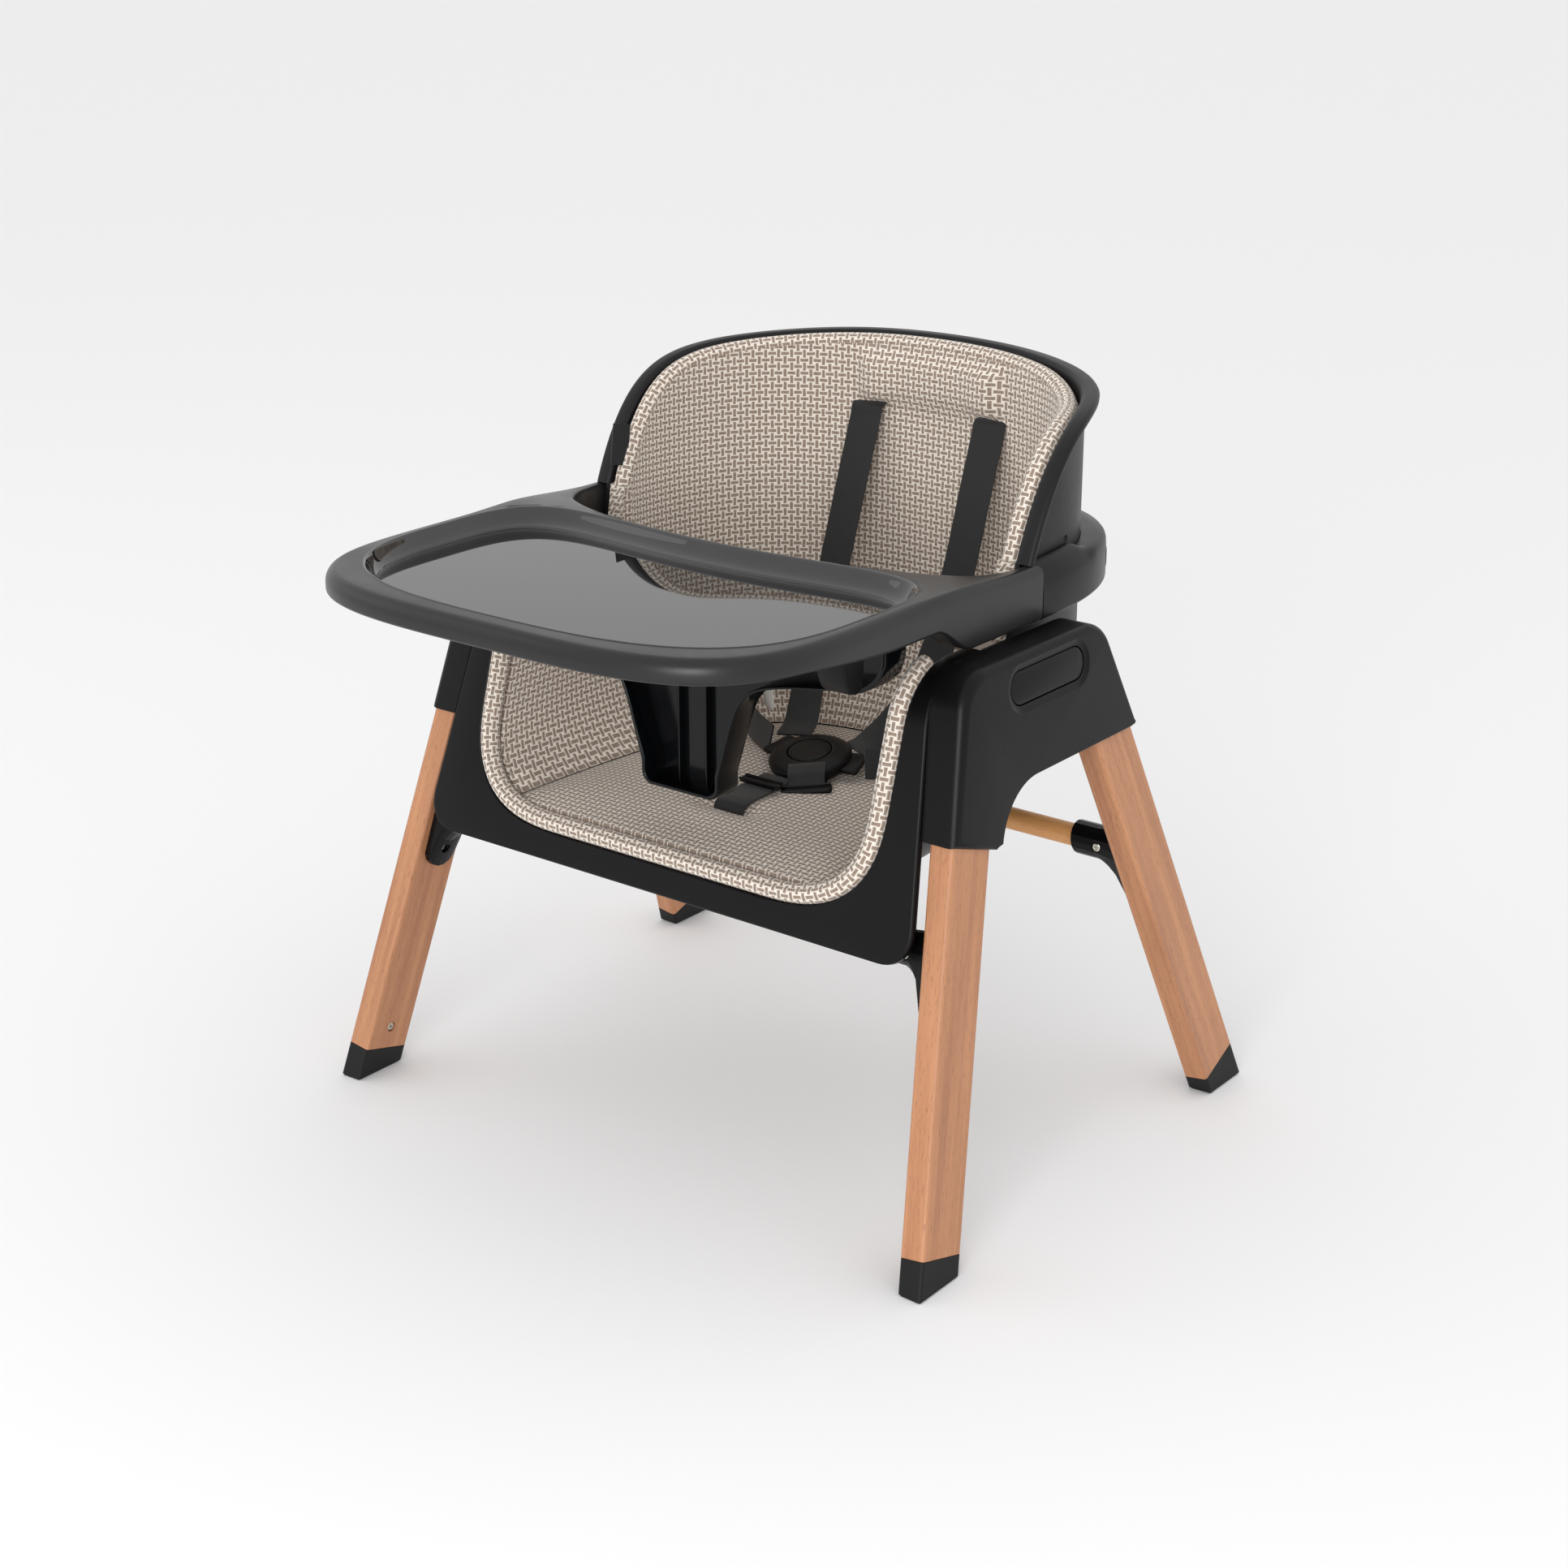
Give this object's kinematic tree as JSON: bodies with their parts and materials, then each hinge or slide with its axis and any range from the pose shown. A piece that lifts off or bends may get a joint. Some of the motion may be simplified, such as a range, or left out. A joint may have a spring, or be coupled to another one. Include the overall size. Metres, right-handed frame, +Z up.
{
  "type": "baby high chair",
  "caption": "Low baby high chair with timber legs, padded bucket seat, slide-off tray with crotch post, and a safety harness.",
  "frame": {"origin": "on the floor, under the centre of the bounding box", "axes": "+Z up, -Y the way the sitter faces, +X the sitter's left"},
  "size_m": [0.5238, 0.516, 0.5189],
  "materials": {
    "black_plastic": "satin moulded, fine texture",
    "gloss_plastic": "high gloss",
    "leg_timber": "clear satin lacquer",
    "dowel_timber": "clear satin lacquer",
    "foot_rubber": "matt moulded",
    "woven_fabric": "basket weave in taupe and cream",
    "webbing": "ribbed webbing",
    "label_cloth": "plain woven tape, blank",
    "zinc_steel": "bright zinc"
  },
  "bodies": {
    "chair_frame": {"armrest_ring": "black_plastic", "back_pad": "woven_fabric", "buckle_body": "black_plastic", "crossbar_fitting_front_left": "black_plastic", "crossbar_fitting_front_right": "black_plastic", "crossbar_fitting_rear_left": "black_plastic", "crossbar_fitting_rear_right": "black_plastic", "crossbar_front": "dowel_timber", "crossbar_rear": "dowel_timber", "crotch_adjuster": "black_plastic", "crotch_strap": "webbing", "cushion_edge_roll": "woven_fabric", "dowel_screw_front_left": "zinc_steel", "dowel_screw_front_right": "zinc_steel", "dowel_screw_rear_left": "zinc_steel", "dowel_screw_rear_right": "zinc_steel", "fitting_screw_front_left": "zinc_steel", "fitting_screw_front_right": "zinc_steel", "fitting_screw_rear_left": "zinc_steel", "fitting_screw_rear_right": "zinc_steel", "foot_cap_front_left": "foot_rubber", "foot_cap_front_right": "foot_rubber", "foot_cap_rear_left": "foot_rubber", "foot_cap_rear_right": "foot_rubber", "foot_screw_front_left": "zinc_steel", "foot_screw_front_right": "zinc_steel", "foot_screw_rear_left": "zinc_steel", "foot_screw_rear_right": "zinc_steel", "front_panel": "black_plastic", "housing_cover_left": "black_plastic", "housing_cover_right": "black_plastic", "lap_adjuster_left": "black_plastic", "lap_adjuster_right": "black_plastic", "lap_strap_left": "webbing", "lap_strap_right": "webbing", "leg_front_left": "leg_timber", "leg_front_right": "leg_timber", "leg_rear_left": "leg_timber", "leg_rear_right": "leg_timber", "release_spring_left": "zinc_steel", "release_spring_right": "zinc_steel", "seat_hub_left": "black_plastic", "seat_hub_right": "black_plastic", "seat_pad": "woven_fabric", "seat_shell": "black_plastic", "shoulder_strap_left": "webbing", "shoulder_strap_right": "webbing", "side_housing_left": "black_plastic", "side_housing_right": "black_plastic"},
    "tray": {"tray_base": "black_plastic", "crotch_post": "black_plastic"},
    "liner": {"tray_liner": "gloss_plastic"},
    "latch_left": {"tray_latch_left": "black_plastic"},
    "latch_right": {"tray_latch_right": "black_plastic"},
    "armrest_button_left": {"armrest_button_left": "black_plastic"},
    "armrest_button_right": {"armrest_button_right": "black_plastic"},
    "release_button_left": {"release_button_left": "black_plastic"},
    "release_button_right": {"release_button_right": "black_plastic"},
    "buckle_button": {"buckle_button": "black_plastic"}
  },
  "joints": [
    {"name": "tray_slide", "type": "slide", "parent": "chair_frame", "child": "tray", "axis": [0, -1, 0], "range_m": [0, 0.25]},
    {"name": "liner_lift", "type": "slide", "parent": "tray", "child": "liner", "axis": [0, 0, 1], "range_m": [0, 0.06]},
    {"name": "tray_latch_left_pull", "type": "slide", "parent": "tray", "child": "latch_left", "axis": [0, -1, 0], "range_m": [0, 0.006], "stiffness_N_per_m": 400, "springref_m": -0.004},
    {"name": "armrest_button_left_press", "type": "slide", "parent": "chair_frame", "child": "armrest_button_left", "axis": [-0.8083, -0.5888, 0], "range_m": [0, 0.003], "stiffness_N_per_m": 400, "springref_m": -0.004},
    {"name": "release_button_left_press", "type": "slide", "parent": "chair_frame", "child": "release_button_left", "axis": [-1, 0, 0], "range_m": [0, 0.003], "stiffness_N_per_m": 400, "springref_m": -0.004},
    {"name": "tray_latch_right_pull", "type": "slide", "parent": "tray", "child": "latch_right", "axis": [0, -1, 0], "range_m": [0, 0.006], "stiffness_N_per_m": 400, "springref_m": -0.004},
    {"name": "armrest_button_right_press", "type": "slide", "parent": "chair_frame", "child": "armrest_button_right", "axis": [0.8083, -0.5888, 0], "range_m": [0, 0.003], "stiffness_N_per_m": 400, "springref_m": -0.004},
    {"name": "release_button_right_press", "type": "slide", "parent": "chair_frame", "child": "release_button_right", "axis": [1, 0, 0], "range_m": [0, 0.003], "stiffness_N_per_m": 400, "springref_m": -0.004},
    {"name": "buckle_button_press", "type": "slide", "parent": "chair_frame", "child": "buckle_button", "axis": [0, 0.2079, -0.9781], "range_m": [0, 0.0025], "stiffness_N_per_m": 400, "springref_m": -0.004}
  ]
}
